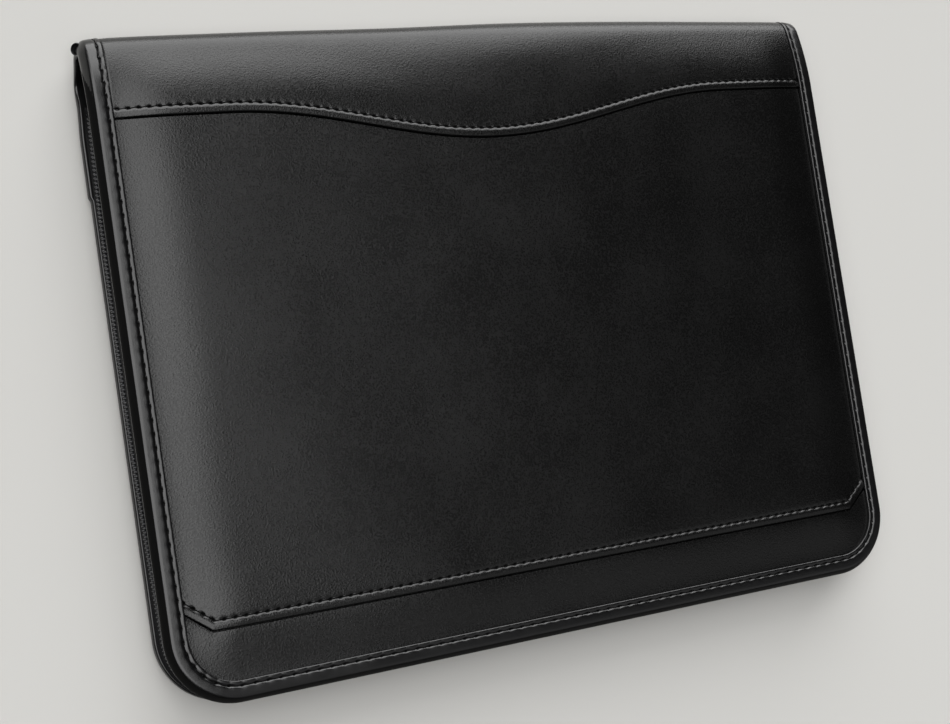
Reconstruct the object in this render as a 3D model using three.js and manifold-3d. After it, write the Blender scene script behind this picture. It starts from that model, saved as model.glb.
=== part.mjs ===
// A zippered conference folder, closed and lying on its back, in millimetres with +Z up.
// +X runs along the spine to the right, +Y points to the spine, and z = 0 is the table under the back.
// The cover is drawn flat, as it is cut and sewn: x across it, s along it from the front's zip edge over
// the spine to the back's zip edge, and depth into it from the binding's outer face. foldPoint() then
// bends that flat drawing round the spine.
import * as THREE from "three";
import { mergeVertices } from "three/addons/utils/BufferGeometryUtils.js";
import Module from "manifold-3d";

// Driving dimensions of the closed folder
const WIDTH = 350;
const HEIGHT = 268;
const THICKNESS = 25;
const CORNER_RADIUS = 28;
const GAP = 0.3;

// Spine: a round top, and the lean of the front and the back where they run into it
const SPINE_ROUND = 9;
const FRONT_LEAN = THREE.MathUtils.degToRad(14.5);
const BACK_LEAN = THREE.MathUtils.degToRad(27);
const SPINE_BOW = 1.5;
const SPINE_CORNER = { run: 15, drop: 2.2 };

// Binding: a leather channel folded over the cover's edge
const BINDING_FACE = 9;
const BINDING_THICKNESS = 6.4;
const BINDING_WALL = 1.2;
const BINDING_ROUND = 4;
const CHANNEL_FLOOR = 2;

// Padded panels: levels are depths below the binding's outer face
const PANEL_INSET = 2.6;
const UNDER_LIP = BINDING_WALL + GAP;
const PANEL_INSIDE = BINDING_THICKNESS - BINDING_WALL - GAP;
const FRONT_FIELD = 0.3;
const BACK_FIELD = 0;
const PILLOW_RUN = 25;

// Lapped seams: a folded hem lies on the tucked margin of the next panel
const HEM_LEVEL = -0.5;
const HEM_WIDTH = 5.5;
const HEM_EDGE = 0.8;
const LAP = 10;
const LAP_OVER = 3;
const LAP_UNDER = LAP_OVER + GAP;

// Seam lines on the flat cover
const WAVE_END_Y = 97.8;
const WAVE_DIP = 16.2;
const WAVE_HALF_WIDTH = 120;
const LOWER_SEAM_Y = -104.8;
const CHAMFER_X = 155.8;
const CHAMFER_RISE = 8;
const APRON_EDGE_Y = 70;
const YOKE_TAPER = 0.000005;

// Zip between the two covers' bindings
const ZIP_TOP_Y = 105;
const CHAIN_INSET = 1.3;
const CHAIN_DEEP = 2;
const CHAIN_WIDE = 4.2;
const TAPE_INSET = 2;
const TAPE_WALL = 0.8;
const SLIDER = { long: 8, wide: 8, inset: 0.5, deep: 4.2 };
const PULL = { long: 28, wide: 6, wall: 1, hole: 1.4 };

const halfWidth = WIDTH / 2;
const halfHeight = HEIGHT / 2;
const midHeight = THICKNESS / 2;
const lipX = halfWidth - BINDING_FACE;
const panelX = halfWidth - PANEL_INSET;

// Side profile of the fold in the plane (y, z). Each shoulder is a parabola between the flat cover and
// the round top: it leaves the flat at start and meets the round where the cover leans by the angle.
function shoulder(lean, side) {
  const centreY = halfHeight - SPINE_ROUND;
  const faceZ = midHeight + side * midHeight;
  const meet = new THREE.Vector2(
    centreY + SPINE_ROUND * Math.sin(lean),
    midHeight + side * SPINE_ROUND * Math.cos(lean),
  );
  const corner = new THREE.Vector2(meet.x - Math.abs(faceZ - meet.y) / Math.tan(lean), faceZ);
  const start = new THREE.Vector2(2 * corner.x - meet.x, faceZ);
  return { start, corner, meet };
}

function makeProfile() {
  const front = shoulder(FRONT_LEAN, 1);
  const back = shoulder(BACK_LEAN, -1);
  const profile = new THREE.CurvePath();
  profile.add(new THREE.LineCurve(new THREE.Vector2(-halfHeight, THICKNESS), front.start));
  profile.add(new THREE.QuadraticBezierCurve(front.start, front.corner, front.meet));
  const [from, to] = [Math.PI / 2 - FRONT_LEAN, BACK_LEAN - Math.PI / 2];
  const round = [halfHeight - SPINE_ROUND, midHeight, SPINE_ROUND, SPINE_ROUND];
  profile.add(new THREE.EllipseCurve(...round, from, to, true));
  profile.add(new THREE.QuadraticBezierCurve(back.meet, back.corner, back.start));
  profile.add(new THREE.LineCurve(back.start, new THREE.Vector2(-halfHeight, 0)));
  return profile;
}

const profile = makeProfile();
const sheetLength = profile.getLength();
const [frontFlat, frontShoulder, roundTop, backShoulder] = profile.getCurveLengths();
const frontS = (y) => y + halfHeight;
const backS = (y) => sheetLength - (y + halfHeight);

// Stations along s, shared by the yoke and the binding where the fold is tight, so that they bend alike
const roundStations = [
  ...evenSteps(frontShoulder, roundTop, 8),
  ...evenSteps(roundTop, backShoulder, 3).slice(1),
];
const spineStations = [...evenSteps(frontFlat, frontShoulder, 4).slice(0, -1), ...roundStations];

// A point of the flat cover, folded round the spine. The spine bows out a little at its middle, and its
// corners are rounded off.
function foldPoint(x, s, depth) {
  const t = s / sheetLength;
  const on = profile.getPoint(t);
  const along = profile.getTangent(t);
  const y = on.x + depth * along.y;
  const z = on.y - depth * along.x;
  const bow = SPINE_BOW * (x / halfWidth) ** 2;
  const intoCorner = 1 - (halfWidth - Math.abs(x)) / SPINE_CORNER.run;
  const corner = SPINE_CORNER.drop * Math.max(0, intoCorner) ** 2;
  const reach = Math.max(0, y / halfHeight) ** 3;
  return new THREE.Vector3(x, y - (bow + corner) * reach, z);
}

function evenSteps(from, to, count) {
  return Array.from({ length: count + 1 }, (_, k) => from + ((to - from) * k) / count);
}

// Distance from the outline of the flat cover, a rounded rectangle, to a point inside it.
function insetAt(x, s) {
  const qx = Math.abs(x) - (halfWidth - CORNER_RADIUS);
  const qs = Math.abs(s - sheetLength / 2) - (sheetLength / 2 - CORNER_RADIUS);
  const outside = Math.hypot(Math.max(qx, 0), Math.max(qs, 0));
  return CORNER_RADIUS - outside - Math.min(Math.max(qx, qs), 0);
}

// Padding: a panel leaves the binding's lip low and swells to its full level within PILLOW_RUN.
// A tucked margin lies deeper than the lip, and stays flat.
function pillow(x, s, level) {
  if (level > UNDER_LIP) return level;
  const run = THREE.MathUtils.clamp((insetAt(x, s) - BINDING_FACE) / PILLOW_RUN, 0, 1);
  return UNDER_LIP + (level - UNDER_LIP) * (1 - (1 - run) ** 2);
}

// Seam lines, as s at a given x
function waveSeam(x) {
  const turn = (Math.PI * Math.min(Math.abs(x), WAVE_HALF_WIDTH)) / WAVE_HALF_WIDTH;
  return frontS(WAVE_END_Y - WAVE_DIP * (0.5 + 0.5 * Math.cos(turn)));
}

function lowerSeam(x) {
  const up = THREE.MathUtils.clamp((Math.abs(x) - CHAMFER_X) / (lipX - CHAMFER_X), 0, 1);
  return frontS(LOWER_SEAM_Y + CHAMFER_RISE * up);
}

// Edge of a panel inside the zip edge's binding, with its two rounded corners
function zipEdge(x) {
  const overhang = Math.max(0, Math.abs(x) - (halfWidth - CORNER_RADIUS));
  const radius = CORNER_RADIUS - PANEL_INSET;
  return CORNER_RADIUS - Math.sqrt(Math.max(0, radius ** 2 - overhang ** 2));
}

// Columns across a panel. The front has one at each chamfer's corner, and panels with rounded corners have
// more of them towards the edge. The spine has none at its middle.
const mirrored = (half) => [...half.slice(1).reverse().map((x) => -x), ...half];
const edgeColumns = [0.6, 0.9, 1].map((share) => THREE.MathUtils.lerp(lipX, panelX, share));
const pillowX = lipX - PILLOW_RUN;
const panelColumns = {
  front: mirrored([...evenSteps(0, CHAMFER_X, 10), (CHAMFER_X + lipX) / 2, lipX, ...edgeColumns]),
  spine: [-panelX, -lipX, ...evenSteps(-pillowX, pillowX, 15), lipX, panelX],
  back: mirrored([...evenSteps(0, pillowX, 4), (pillowX + lipX) / 2, lipX, ...edgeColumns]),
};

// Joins equal loops of points into one closed surface that faces outwards. A run of loops that doesn't
// close on itself gets a flat cap at each end, cut to the 2-D outlines of its first and last loop.
function loft(loops, capOutlines) {
  const count = loops[0].length;
  const triangles = [];
  const spans = capOutlines ? loops.length - 1 : loops.length;
  for (let i = 0; i < spans; i++) {
    const here = i * count;
    const next = ((i + 1) % loops.length) * count;
    for (let j = 0; j < count; j++) {
      const k = (j + 1) % count;
      triangles.push([here + j, next + j, next + k], [here + j, next + k, here + k]);
    }
  }
  if (capOutlines) {
    const last = (loops.length - 1) * count;
    const [first, end] = capOutlines.map((outline) => capTriangles(outline));
    triangles.push(...first);
    triangles.push(...end.map(([a, b, c]) => [last + c, last + b, last + a]));
  }
  const points = loops.flat();
  if (signedVolume(points, triangles) < 0) triangles.forEach((t) => t.reverse());
  const geometry = new THREE.BufferGeometry().setFromPoints(points);
  geometry.setIndex(triangles.flat());
  geometry.computeVertexNormals();
  return geometry;
}

// Triangles of a cap, all turned the same way as a counter-clockwise outline.
function capTriangles(outline) {
  const faces = THREE.ShapeUtils.triangulateShape(outline, []);
  const clockwise = THREE.ShapeUtils.isClockWise(outline);
  return faces.map(([a, b, c]) => {
    const turned = THREE.ShapeUtils.isClockWise([outline[a], outline[b], outline[c]]);
    return turned === clockwise ? [a, b, c] : [c, b, a];
  });
}

function signedVolume(points, triangles) {
  const cross = new THREE.Vector3();
  return triangles.reduce((sum, [a, b, c]) => {
    cross.crossVectors(points[b], points[c]);
    return sum + points[a].dot(cross) / 6;
  }, 0);
}

// A panel: rowsAt(x) gives one column's rows, each with s, the outer level and the inner level. A tapered
// panel is cut narrower along s, by that share of its width for each millimetre.
function panelGeometry(columns, rowsAt, taper = 0) {
  const outlines = columns.map((x) => {
    const rows = rowsAt(x);
    const outer = rows.map((row) => new THREE.Vector2(row.s, pillow(x, row.s, row.outer)));
    const inner = rows.map((row) => new THREE.Vector2(row.s, row.inner));
    return [...outer, ...inner.reverse()];
  });
  const loops = outlines.map((outline, i) =>
    outline.map((p) => foldPoint(columns[i] * (1 - taper * p.x), p.x, p.y)),
  );
  return loft(loops, [outlines[0], outlines.at(-1)]);
}

// Rows of a raised, folded hem that starts at an edge of the front and runs on along s.
function hemRows(edge) {
  const table = [
    { step: 0, outer: HEM_LEVEL + HEM_EDGE },
    { step: HEM_EDGE, outer: HEM_LEVEL },
    { step: HEM_WIDTH, outer: HEM_LEVEL },
    { step: HEM_WIDTH + HEM_EDGE * 2, outer: FRONT_FIELD },
  ];
  return table.map(({ step, outer }) => ({ s: edge + step, outer, inner: LAP_OVER }));
}

// Rows behind a hem, where the panel drops to its full thickness past the margin that the hem lies on.
function lapEndRows(edge) {
  const table = [
    { step: LAP + GAP, inner: LAP_OVER },
    { step: LAP + GAP + HEM_EDGE, inner: PANEL_INSIDE },
  ];
  return table.map(({ step, inner }) => ({ s: edge + step, outer: FRONT_FIELD, inner }));
}

// Rows of a margin that is tucked under the hem whose edge is given, from the field towards the hem.
function tuckRows(hemEdge, direction, fieldLevel) {
  const table = [
    { step: -HEM_EDGE - GAP, outer: fieldLevel },
    { step: -GAP, outer: LAP_UNDER },
    { step: LAP, outer: LAP_UNDER },
  ];
  return table.map(({ step, outer }) => ({ s: hemEdge + direction * step, outer, inner: PANEL_INSIDE }));
}

const plainRow = (s, level) => ({ s, outer: level, inner: PANEL_INSIDE });

// Plain rows between two values of s, without the two ends.
function fieldRows(from, to, count, level) {
  const inside = evenSteps(from, to, count).slice(1, -1);
  return inside.map((s) => plainRow(s, level));
}

// Lower band of the front, tucked under the front panel
function lowerBandRows(x) {
  const edge = zipEdge(x);
  const tuck = tuckRows(lowerSeam(x), 1, FRONT_FIELD);
  return [plainRow(edge, FRONT_FIELD), ...fieldRows(edge, tuck[0].s, 5, FRONT_FIELD), ...tuck];
}

// Main front panel: hemmed along the lower seam, tucked under the yoke
function frontPanelRows(x) {
  const hem = [...hemRows(lowerSeam(x)), ...lapEndRows(lowerSeam(x))];
  const tuck = tuckRows(waveSeam(x), 1, FRONT_FIELD);
  return [...hem, ...fieldRows(hem.at(-1).s, tuck[0].s, 5, FRONT_FIELD), ...tuck];
}

// Yoke: from the wave on the front, over the spine, to a straight hem on the back. It is one thin layer,
// with no board in it, so that it bends.
function spineYokeRows(x) {
  const hem = hemRows(waveSeam(x));
  const rise = evenSteps(hem.at(-1).s, frontShoulder, 4).slice(1, -1);
  const bend = [...rise, ...roundStations, backS(APRON_EDGE_Y)];
  const levels = bend.map((s) => (s < roundTop ? FRONT_FIELD : BACK_FIELD));
  return [...hem, ...bend.map((s, i) => ({ s, outer: levels[i], inner: LAP_OVER }))];
}

// Back panel: tucked under the apron, with its own zip edge
function backPanelRows(x) {
  const tuck = tuckRows(backS(APRON_EDGE_Y), -1, BACK_FIELD).reverse();
  const edge = sheetLength - zipEdge(x);
  return [...tuck, ...fieldRows(tuck.at(-1).s, edge, 6, BACK_FIELD), plainRow(edge, BACK_FIELD)];
}

// The zip edge of one cover as stations from the left side round the two corners to the right side:
// a point of the outline on (x, s) and its outward direction.
function edgeStations(topS) {
  const stations = [{ x: -halfWidth, s: topS, nx: -1, ns: 0 }];
  for (const side of [-1, 1]) {
    const angles = evenSteps(0, Math.PI / 2, 7);
    const turns = side < 0 ? angles : angles.reverse();
    turns.forEach((turn) => {
      const [nx, ns] = [side * Math.cos(turn), -Math.sin(turn)];
      const centreX = side * (halfWidth - CORNER_RADIUS);
      stations.push({ x: centreX + CORNER_RADIUS * nx, s: CORNER_RADIUS * (1 + ns), nx, ns });
    });
  }
  stations.push({ x: halfWidth, s: topS, nx: 1, ns: 0 });
  return stations;
}

// Binding section as (inset from the cover's edge, depth): a channel with a rounded outer side.
function bindingSection() {
  const half = BINDING_THICKNESS / 2;
  const outer = evenSteps(-Math.PI / 2, Math.PI / 2, 6).map((turn) => [
    BINDING_ROUND * (1 - Math.cos(turn)),
    half * (1 + Math.sin(turn)),
  ]);
  const far = BINDING_THICKNESS - BINDING_WALL;
  const inner = [
    [BINDING_FACE, BINDING_THICKNESS],
    [BINDING_FACE, far],
    [CHANNEL_FLOOR, far],
    [CHANNEL_FLOOR, BINDING_WALL],
    [BINDING_FACE, BINDING_WALL],
    [BINDING_FACE, 0],
  ];
  return [...outer, ...inner];
}

// The binding is one loop: round the front's zip edge, over the spine's right end, round the back's zip
// edge and over the spine's left end.
function bindingGeometry() {
  const front = edgeStations(frontFlat);
  const back = edgeStations(sheetLength - backShoulder);
  const backEdge = back.map(({ x, s, nx, ns }) => ({ x, s: sheetLength - s, nx, ns: -ns }));
  const spine = spineStations.slice(1, -1);
  const rightEnd = spine.map((s) => ({ x: halfWidth, s, nx: 1, ns: 0 }));
  const leftEnd = spine.map((s) => ({ x: -halfWidth, s, nx: -1, ns: 0 }));
  const loop = [...front, ...rightEnd, ...backEdge.reverse(), ...leftEnd.reverse()];
  const section = bindingSection();
  const loops = loop.map(({ x, s, nx, ns }) =>
    section.map(([inset, depth]) => foldPoint(x - inset * nx, s - inset * ns, depth)),
  );
  return loft(loops);
}

// Carries a section of (inset, z) points along the zip's way round the folder's open sides.
function zipSweep(section) {
  const loops = edgeStations(frontS(ZIP_TOP_Y)).map(({ x, s, nx, ns }) =>
    section.map((p) => new THREE.Vector3(x - p.x * nx, s - p.x * ns - halfHeight, p.y)),
  );
  return loft(loops, [section, section]);
}

// Tape: an upright strip beside the chain and a flange sewn under the binding. side 1 is the front's.
// The flange keeps twice the gap, because the front's binding leans towards it at the zip's top ends.
function tapeGeometry(side) {
  const fromMid = (rise) => midHeight + side * rise;
  const chainSide = fromMid(CHAIN_WIDE / 2 + GAP);
  const sewn = fromMid(midHeight - BINDING_THICKNESS - 2 * GAP);
  const sewnInside = sewn - side * TAPE_WALL;
  const outline = [
    [TAPE_INSET, chainSide],
    [TAPE_INSET + TAPE_WALL, chainSide],
    [TAPE_INSET + TAPE_WALL, sewnInside],
    [BINDING_FACE, sewnInside],
    [BINDING_FACE, sewn],
    [TAPE_INSET, sewn],
  ];
  return zipSweep(outline.map(([inset, z]) => new THREE.Vector2(inset, z)));
}

// Chain: the closed rows of teeth as one rounded strip
function chainGeometry() {
  const turns = evenSteps(0, 2 * Math.PI, 8).slice(0, -1);
  const section = turns.map(
    (turn) =>
      new THREE.Vector2(
        CHAIN_INSET + (CHAIN_DEEP / 2) * (1 + Math.cos(turn)),
        midHeight + (CHAIN_WIDE / 2) * Math.sin(turn),
      ),
  );
  return zipSweep(section);
}

const wasm = await Module();
wasm.setup();

function toSolid(geometry) {
  const bare = geometry.clone();
  bare.deleteAttribute("normal");
  bare.deleteAttribute("uv");
  const merged = mergeVertices(bare);
  const vertProperties = merged.attributes.position.array;
  const triVerts = new Uint32Array(merged.index.array);
  return new wasm.Manifold(new wasm.Mesh({ numProp: 3, vertProperties, triVerts }));
}

function toGeometry(solid) {
  const mesh = solid.getMesh();
  const geometry = new THREE.BufferGeometry();
  geometry.setAttribute("position", new THREE.BufferAttribute(mesh.vertProperties, 3));
  geometry.setIndex(new THREE.BufferAttribute(mesh.triVerts, 1));
  geometry.computeVertexNormals();
  return geometry;
}

// Slider at the closed end of the zip: its body and the pull that lies along the chain, one plain piece.
// It is drawn looking at the folder's right side: outline x is along -Y, outline y is up.
function sliderGeometry() {
  const body = new THREE.BoxGeometry(SLIDER.deep, SLIDER.long, SLIDER.wide);
  body.translate(-SLIDER.inset - SLIDER.deep / 2, GAP + SLIDER.long / 2, 0);
  const half = PULL.wide / 2;
  const tab = new THREE.Shape();
  tab.moveTo(0, -half);
  tab.lineTo(PULL.long - half, -half);
  tab.absarc(PULL.long - half, 0, half, -Math.PI / 2, Math.PI / 2, false);
  tab.lineTo(0, half);
  tab.closePath();
  const eye = new THREE.Path();
  eye.absarc(PULL.long - half, 0, PULL.hole, 0, 2 * Math.PI, true);
  tab.holes.push(eye);
  const pull = new THREE.ExtrudeGeometry(tab, { depth: PULL.wall, bevelEnabled: false, curveSegments: 8 });
  pull.rotateZ(-Math.PI / 2);
  pull.rotateY(Math.PI / 2);
  pull.translate(-SLIDER.inset - PULL.wall / 2, GAP + SLIDER.long / 2, 0);
  return toGeometry(toSolid(body).add(toSolid(pull)));
}

const blackLeather = { color: 0x151516, roughness: 0.5, metalness: 0 };
const bindingLeather = { color: 0x19191a, roughness: 0.45, metalness: 0 };
const zipTape = { color: 0x131314, roughness: 0.9, metalness: 0 };
const zipTeeth = { color: 0x2e2e30, roughness: 0.4, metalness: 0 };
const slider = { color: 0x3a3a3d, roughness: 0.35, metalness: 1 };

function addPiece(name, geometry, finish) {
  const mesh = new THREE.Mesh(geometry, new THREE.MeshStandardMaterial(finish));
  mesh.name = name;
  folder.add(mesh);
  return mesh;
}

const folder = new THREE.Group();
addPiece("front_panel", panelGeometry(panelColumns.front, frontPanelRows), blackLeather);
addPiece("lower_band", panelGeometry(panelColumns.front, lowerBandRows), blackLeather);
addPiece("spine_yoke", panelGeometry(panelColumns.spine, spineYokeRows, YOKE_TAPER), blackLeather);
addPiece("back_panel", panelGeometry(panelColumns.back, backPanelRows), blackLeather);
addPiece("edge_binding", bindingGeometry(), bindingLeather);
addPiece("zip_tape_front", tapeGeometry(1), zipTape);
addPiece("zip_tape_back", tapeGeometry(-1), zipTape);
addPiece("zip_chain", chainGeometry(), zipTeeth);
addPiece("zip_slider", sliderGeometry(), slider).position.set(halfWidth, ZIP_TOP_Y, midHeight);

export default folder;
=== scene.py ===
"""A closed zippered conference folder of black leather, lying on its back on a pale floor.

Lengths are millimetres until a mesh is made. The cover is drawn flat, as it is cut and sewn: x across it,
s along it from the front's zip edge over the spine to the back's zip edge, and depth below its face. fold()
then bends that flat drawing round the spine.
"""

import math

import bpy
import numpy as np
from mathutils import Matrix, Vector


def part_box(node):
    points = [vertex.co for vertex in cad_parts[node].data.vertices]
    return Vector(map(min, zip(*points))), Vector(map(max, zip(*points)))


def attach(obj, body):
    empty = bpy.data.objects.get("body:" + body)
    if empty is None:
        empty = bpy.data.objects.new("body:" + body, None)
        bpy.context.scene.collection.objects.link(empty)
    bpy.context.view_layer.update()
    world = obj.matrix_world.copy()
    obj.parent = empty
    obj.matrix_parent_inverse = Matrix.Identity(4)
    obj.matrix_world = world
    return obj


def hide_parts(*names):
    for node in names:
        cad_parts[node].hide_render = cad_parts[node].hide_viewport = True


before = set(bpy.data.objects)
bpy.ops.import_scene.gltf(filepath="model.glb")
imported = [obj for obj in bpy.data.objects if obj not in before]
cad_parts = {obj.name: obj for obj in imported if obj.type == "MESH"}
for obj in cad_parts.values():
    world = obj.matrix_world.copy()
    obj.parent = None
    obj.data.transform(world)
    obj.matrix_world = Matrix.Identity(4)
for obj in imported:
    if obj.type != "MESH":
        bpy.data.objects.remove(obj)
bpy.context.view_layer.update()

bl_info = {
    "name": "Zippered Conference Folder",
    "version": (1, 0, 0),
    "blender": (4, 5, 0),
    "location": "View3D > Sidebar > Folder",
    "description": "Builds a closed folder with padded panels, stitched bindings and a zip",
    "category": "Add Mesh",
}

MM = 0.001

# Outer sizes, from the frame, and the radius of the cover's corners
binding_low, binding_high = (np.array(corner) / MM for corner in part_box("edge_binding"))
HALF_WIDTH = binding_high[0]
HALF_HEIGHT = -binding_low[1]
THICKNESS = binding_high[2]
MID_HEIGHT = THICKNESS / 2
CORNER_RADIUS = 28

# Spine: a round top, and the lean of the front and the back where they run into it
SPINE_ROUND = 9
FRONT_LEAN = math.radians(14.5)
BACK_LEAN = math.radians(27)
SPINE_BOW = 1.5
SPINE_CORNER_RUN = 15
SPINE_CORNER_DROP = 1.4
SPINE_SWELL = 1.0
SPINE_SWELL_X = 45
SPINE_SWELL_WIDTH = 65

# Yoke beside the lips at the spine: its depth there, and how far under the lip and how fast it comes up
FLUSH_LEVEL = 0.25
FLUSH_UNDER = 0.4
FLUSH_RUN = 0.6

# Binding
BINDING_FACE = 9
BINDING_THICKNESS = 6.4
LIP_X = HALF_WIDTH - BINDING_FACE
BINDING_GROOVE = 6.9
GROOVE_FLOOR = 0.27

# Panels: levels are depths below the binding's face
PANEL_INSET = 2.6
PANEL_X = HALF_WIDTH - PANEL_INSET
UNDER_LIP = 1.5
PANEL_INSIDE = 4.9
YOKE_INSIDE = 2.4
FRONT_FIELD = 0.3
BACK_FIELD = 0.3
PILLOW_RUN = 32

# Hems, measured inwards from their edge
HEM_LEVEL = -0.5
HEM_ROUND = 0.8
HEM_DROP = 1.25
HEM_DOME = 0.18
HEM_STEP = 0.22
HEM_REACH = 10.5
SEAM_INSET = 4.0
GROOVE_DEPTH = 0.12
GROOVE_WIDTH = 0.75
SETTLE_FROM = 8
SETTLE_RUN = 22
APRON_LEVEL = 0.2
APRON_SHARE = 0.6

# Needle holes: the leather is raw where they are deeper than HOLE_RAW
HOLE_DEPTH = 1.2
HOLE_ROUND = 0.36
HOLE_LONG = 1.7
HOLE_REACH = 1.0
HOLE_RAW = 0.2
HOLE_CROWDING = 0.65

# Laps: where one panel's edge is tucked under another's hem
LAP = 10
LAP_OVER = 3
LAP_UNDER = 3.3
TUCK_GAP = 0.3
TUCK_DIP = 0.25
TUCK_DIP_RUN = 1.2

# Seam lines
WAVE_END_Y = 97.8
WAVE_DIP = 16.2
WAVE_HALF_WIDTH = 120
LOWER_SEAM_Y = -104.8
CHAMFER_X = 155.8
CHAMFER_RISE = 8
CHAMFER_SLOPE = CHAMFER_RISE / (LIP_X - CHAMFER_X)
APRON_EDGE_Y = 70

# Zip
ZIP_TOP_Y = 105
ZIP_TAPER = 10
ZIP_HEIGHT = MID_HEIGHT - 1
CHAIN_INSET = 0.8
CHAIN_SAG = 1.7


def to_linear(hex_colour):
    """Linear red, green, blue and alpha of an sRGB colour written as six hex digits."""
    srgb = np.array([int(hex_colour[k : k + 2], 16) for k in (0, 2, 4)]) / 255
    linear = np.where(srgb <= 0.04045, srgb / 12.92, ((srgb + 0.055) / 1.055) ** 2.4)
    return (*linear.tolist(), 1.0)


def length(name, description, default):
    """A size property, given in millimetres and kept in metres as Blender's units are."""
    return bpy.props.FloatProperty(
        name=name, description=description, default=default * MM, min=0, precision=5, unit="LENGTH"
    )


def colour(name, description, hex_colour):
    """A colour property with an sRGB hex default."""
    return bpy.props.FloatVectorProperty(
        name=name,
        description=description,
        default=to_linear(hex_colour),
        size=4,
        min=0,
        max=1,
        subtype="COLOR",
    )


def strength(name, description, default):
    """A light's strength property."""
    return bpy.props.FloatProperty(name=name, description=description, default=default, min=0)


class FolderSizes(bpy.types.PropertyGroup):
    """Sizes of the sewing, the leather and the zip that a maker would change."""

    binding_stitch: length("Binding Stitch", "Stitch length along the bindings", 5.36)
    wave_stitch: length("Wave Stitch", "Stitch length along the yoke's wave", 4.15)
    lower_stitch: length("Lower Stitch", "Stitch length along the straight seams", 4.4)
    thread: length("Thread", "Diameter of the sewing thread", 0.6)
    grain: length("Grain", "Width of one pebble of the leather's grain", 0.75)
    grain_depth: length("Grain Depth", "Depth of the creases between the pebbles", 0.06)
    padding_ripple: length("Padding Ripple", "Height of the slow unevenness of the padding", 0.25)
    tooth_pitch: length("Tooth Pitch", "Distance from one zip tooth to the next in a row", 1.7)
    weave: length("Weave", "Distance between the ribs of the tape's herringbone", 1.0)


class FolderColours(bpy.types.PropertyGroup):
    """Colours of the finishes, with painted shade in the leather's grain creases and a painted highlight on
    the tape's raised ribs.
    """

    # leather and leather_tops are one leather: the creases are painted darker than the pebble tops, as
    # painted shade in the grain
    leather: colour("Leather", "Coated leather in the creases of its grain", "010101")
    leather_tops: colour("Leather Tops", "Coated leather on the pebbles of its grain", "050505")
    binding: colour("Binding", "Smooth leather of the bindings", "060606")
    binding_worn: colour("Binding Worn", "Smooth leather where hands rub it", "0a0a0b")
    thread: colour("Thread", "Sewing thread", "040404")
    tape: colour("Tape", "Zip tape", "070708")
    # The tape's own colour, painted lighter on the raised ribs as a painted highlight
    tape_ribs: colour("Tape Ribs", "Raised ribs of the zip tape", "131315")
    teeth: colour("Teeth", "Zip teeth", "3e3e40")
    slider: colour("Slider", "Plated zip slider", "4a4a4e")
    floor: colour("Floor", "Floor under the folder", "b4b3b0")


class FolderStage(bpy.types.PropertyGroup):
    """Camera and light."""

    lens: bpy.props.FloatProperty(
        name="Lens", description="Focal length of the camera", default=61.9, min=1, unit="CAMERA"
    )
    overhead: strength("Overhead", "Strength of the wide light overhead", 3.05)
    behind: strength("Behind", "Strength of the light behind the spine", 3.9)
    front: strength("Front", "Strength of the light from the zip edge's side", 0.2)
    surround: strength("Surround", "Strength of the even light from all sides", 0.01)


def smoothstep(t):
    """Rises from 0 to 1 as t does, level at both ends."""
    t = np.clip(t, 0, 1)
    return t * t * (3 - 2 * t)


def bell(distance, width):
    """1 at no distance, falling off as a bell of the given width."""
    return np.exp(-((distance / width) ** 2))


def unit(vectors):
    """Vectors of length 1 along the last axis."""
    return vectors / np.linalg.norm(vectors, axis=-1, keepdims=True)


def to_points(x, y, z):
    """Points of arrays of x, y and z, which are broadcast together."""
    return np.stack(np.broadcast_arrays(x, y, z), axis=-1)


def shoulder(lean, side):
    """Parabola from a flat cover into the spine's round, as rows of y and z and of its direction.

    Its ends are where the cover is flat and where the round leans by the angle, and its middle control
    point is where the tangents at both ends cross.
    """
    meet = np.array([HALF_HEIGHT - SPINE_ROUND, MID_HEIGHT])
    meet = meet + SPINE_ROUND * np.array([math.sin(lean), side * math.cos(lean)])
    face = MID_HEIGHT * (1 + side)
    corner = np.array([meet[0] - abs(face - meet[1]) / math.tan(lean), face])
    start = np.array([2 * corner[0] - meet[0], face])
    t = np.linspace(0, 1, 60)[:, None]
    points = (1 - t) ** 2 * start + 2 * t * (1 - t) * corner + t**2 * meet
    return points, (1 - t) * (corner - start) + t * (meet - corner)


def side_view():
    """Side view of the folded cover: s, y, z and lean along it, and s where its stretches meet.

    Flat front, parabola, round spine, parabola, flat back. s is the length along that line, and the lean is
    the line's direction, from 0 on the front to minus half a turn on the back.
    """
    front, front_way = shoulder(FRONT_LEAN, 1)
    back, back_way = shoulder(BACK_LEAN, -1)
    turn = np.linspace(math.pi / 2 - FRONT_LEAN, BACK_LEAN - math.pi / 2, 120)[1:-1]
    circle = np.stack([np.cos(turn), np.sin(turn)], axis=1)
    spine = [HALF_HEIGHT - SPINE_ROUND, MID_HEIGHT] + SPINE_ROUND * circle
    spine_way = np.stack([np.sin(turn), -np.cos(turn)], axis=1)
    ends = np.array([[-HALF_HEIGHT, THICKNESS], [-HALF_HEIGHT, 0.0]])
    line = np.concatenate([ends[:1], front, spine, back[::-1], ends[1:]])
    way = np.concatenate([[[1, 0]], front_way, spine_way, -back_way[::-1], [[-1, 0]]])
    along = np.concatenate([[0], np.cumsum(np.linalg.norm(np.diff(line, axis=0), axis=1))])
    lean = -np.abs(np.arctan2(way[:, 1], way[:, 0]))
    meets = along[[1, len(front), len(front) + len(spine) + 1, -2]]
    return (along, line[:, 0], line[:, 1], lean), meets


SIDE_VIEW, (FRONT_FLAT, SPINE_START, SPINE_END, BACK_FLAT) = side_view()
SHEET_LENGTH = SIDE_VIEW[0][-1]
SPINE_MIDDLE = (SPINE_START + SPINE_END) / 2


def front_s(y):
    """s of a point on the flat front."""
    return y + HALF_HEIGHT


def back_s(y):
    """s of a point on the flat back."""
    return SHEET_LENGTH - y - HALF_HEIGHT


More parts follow.
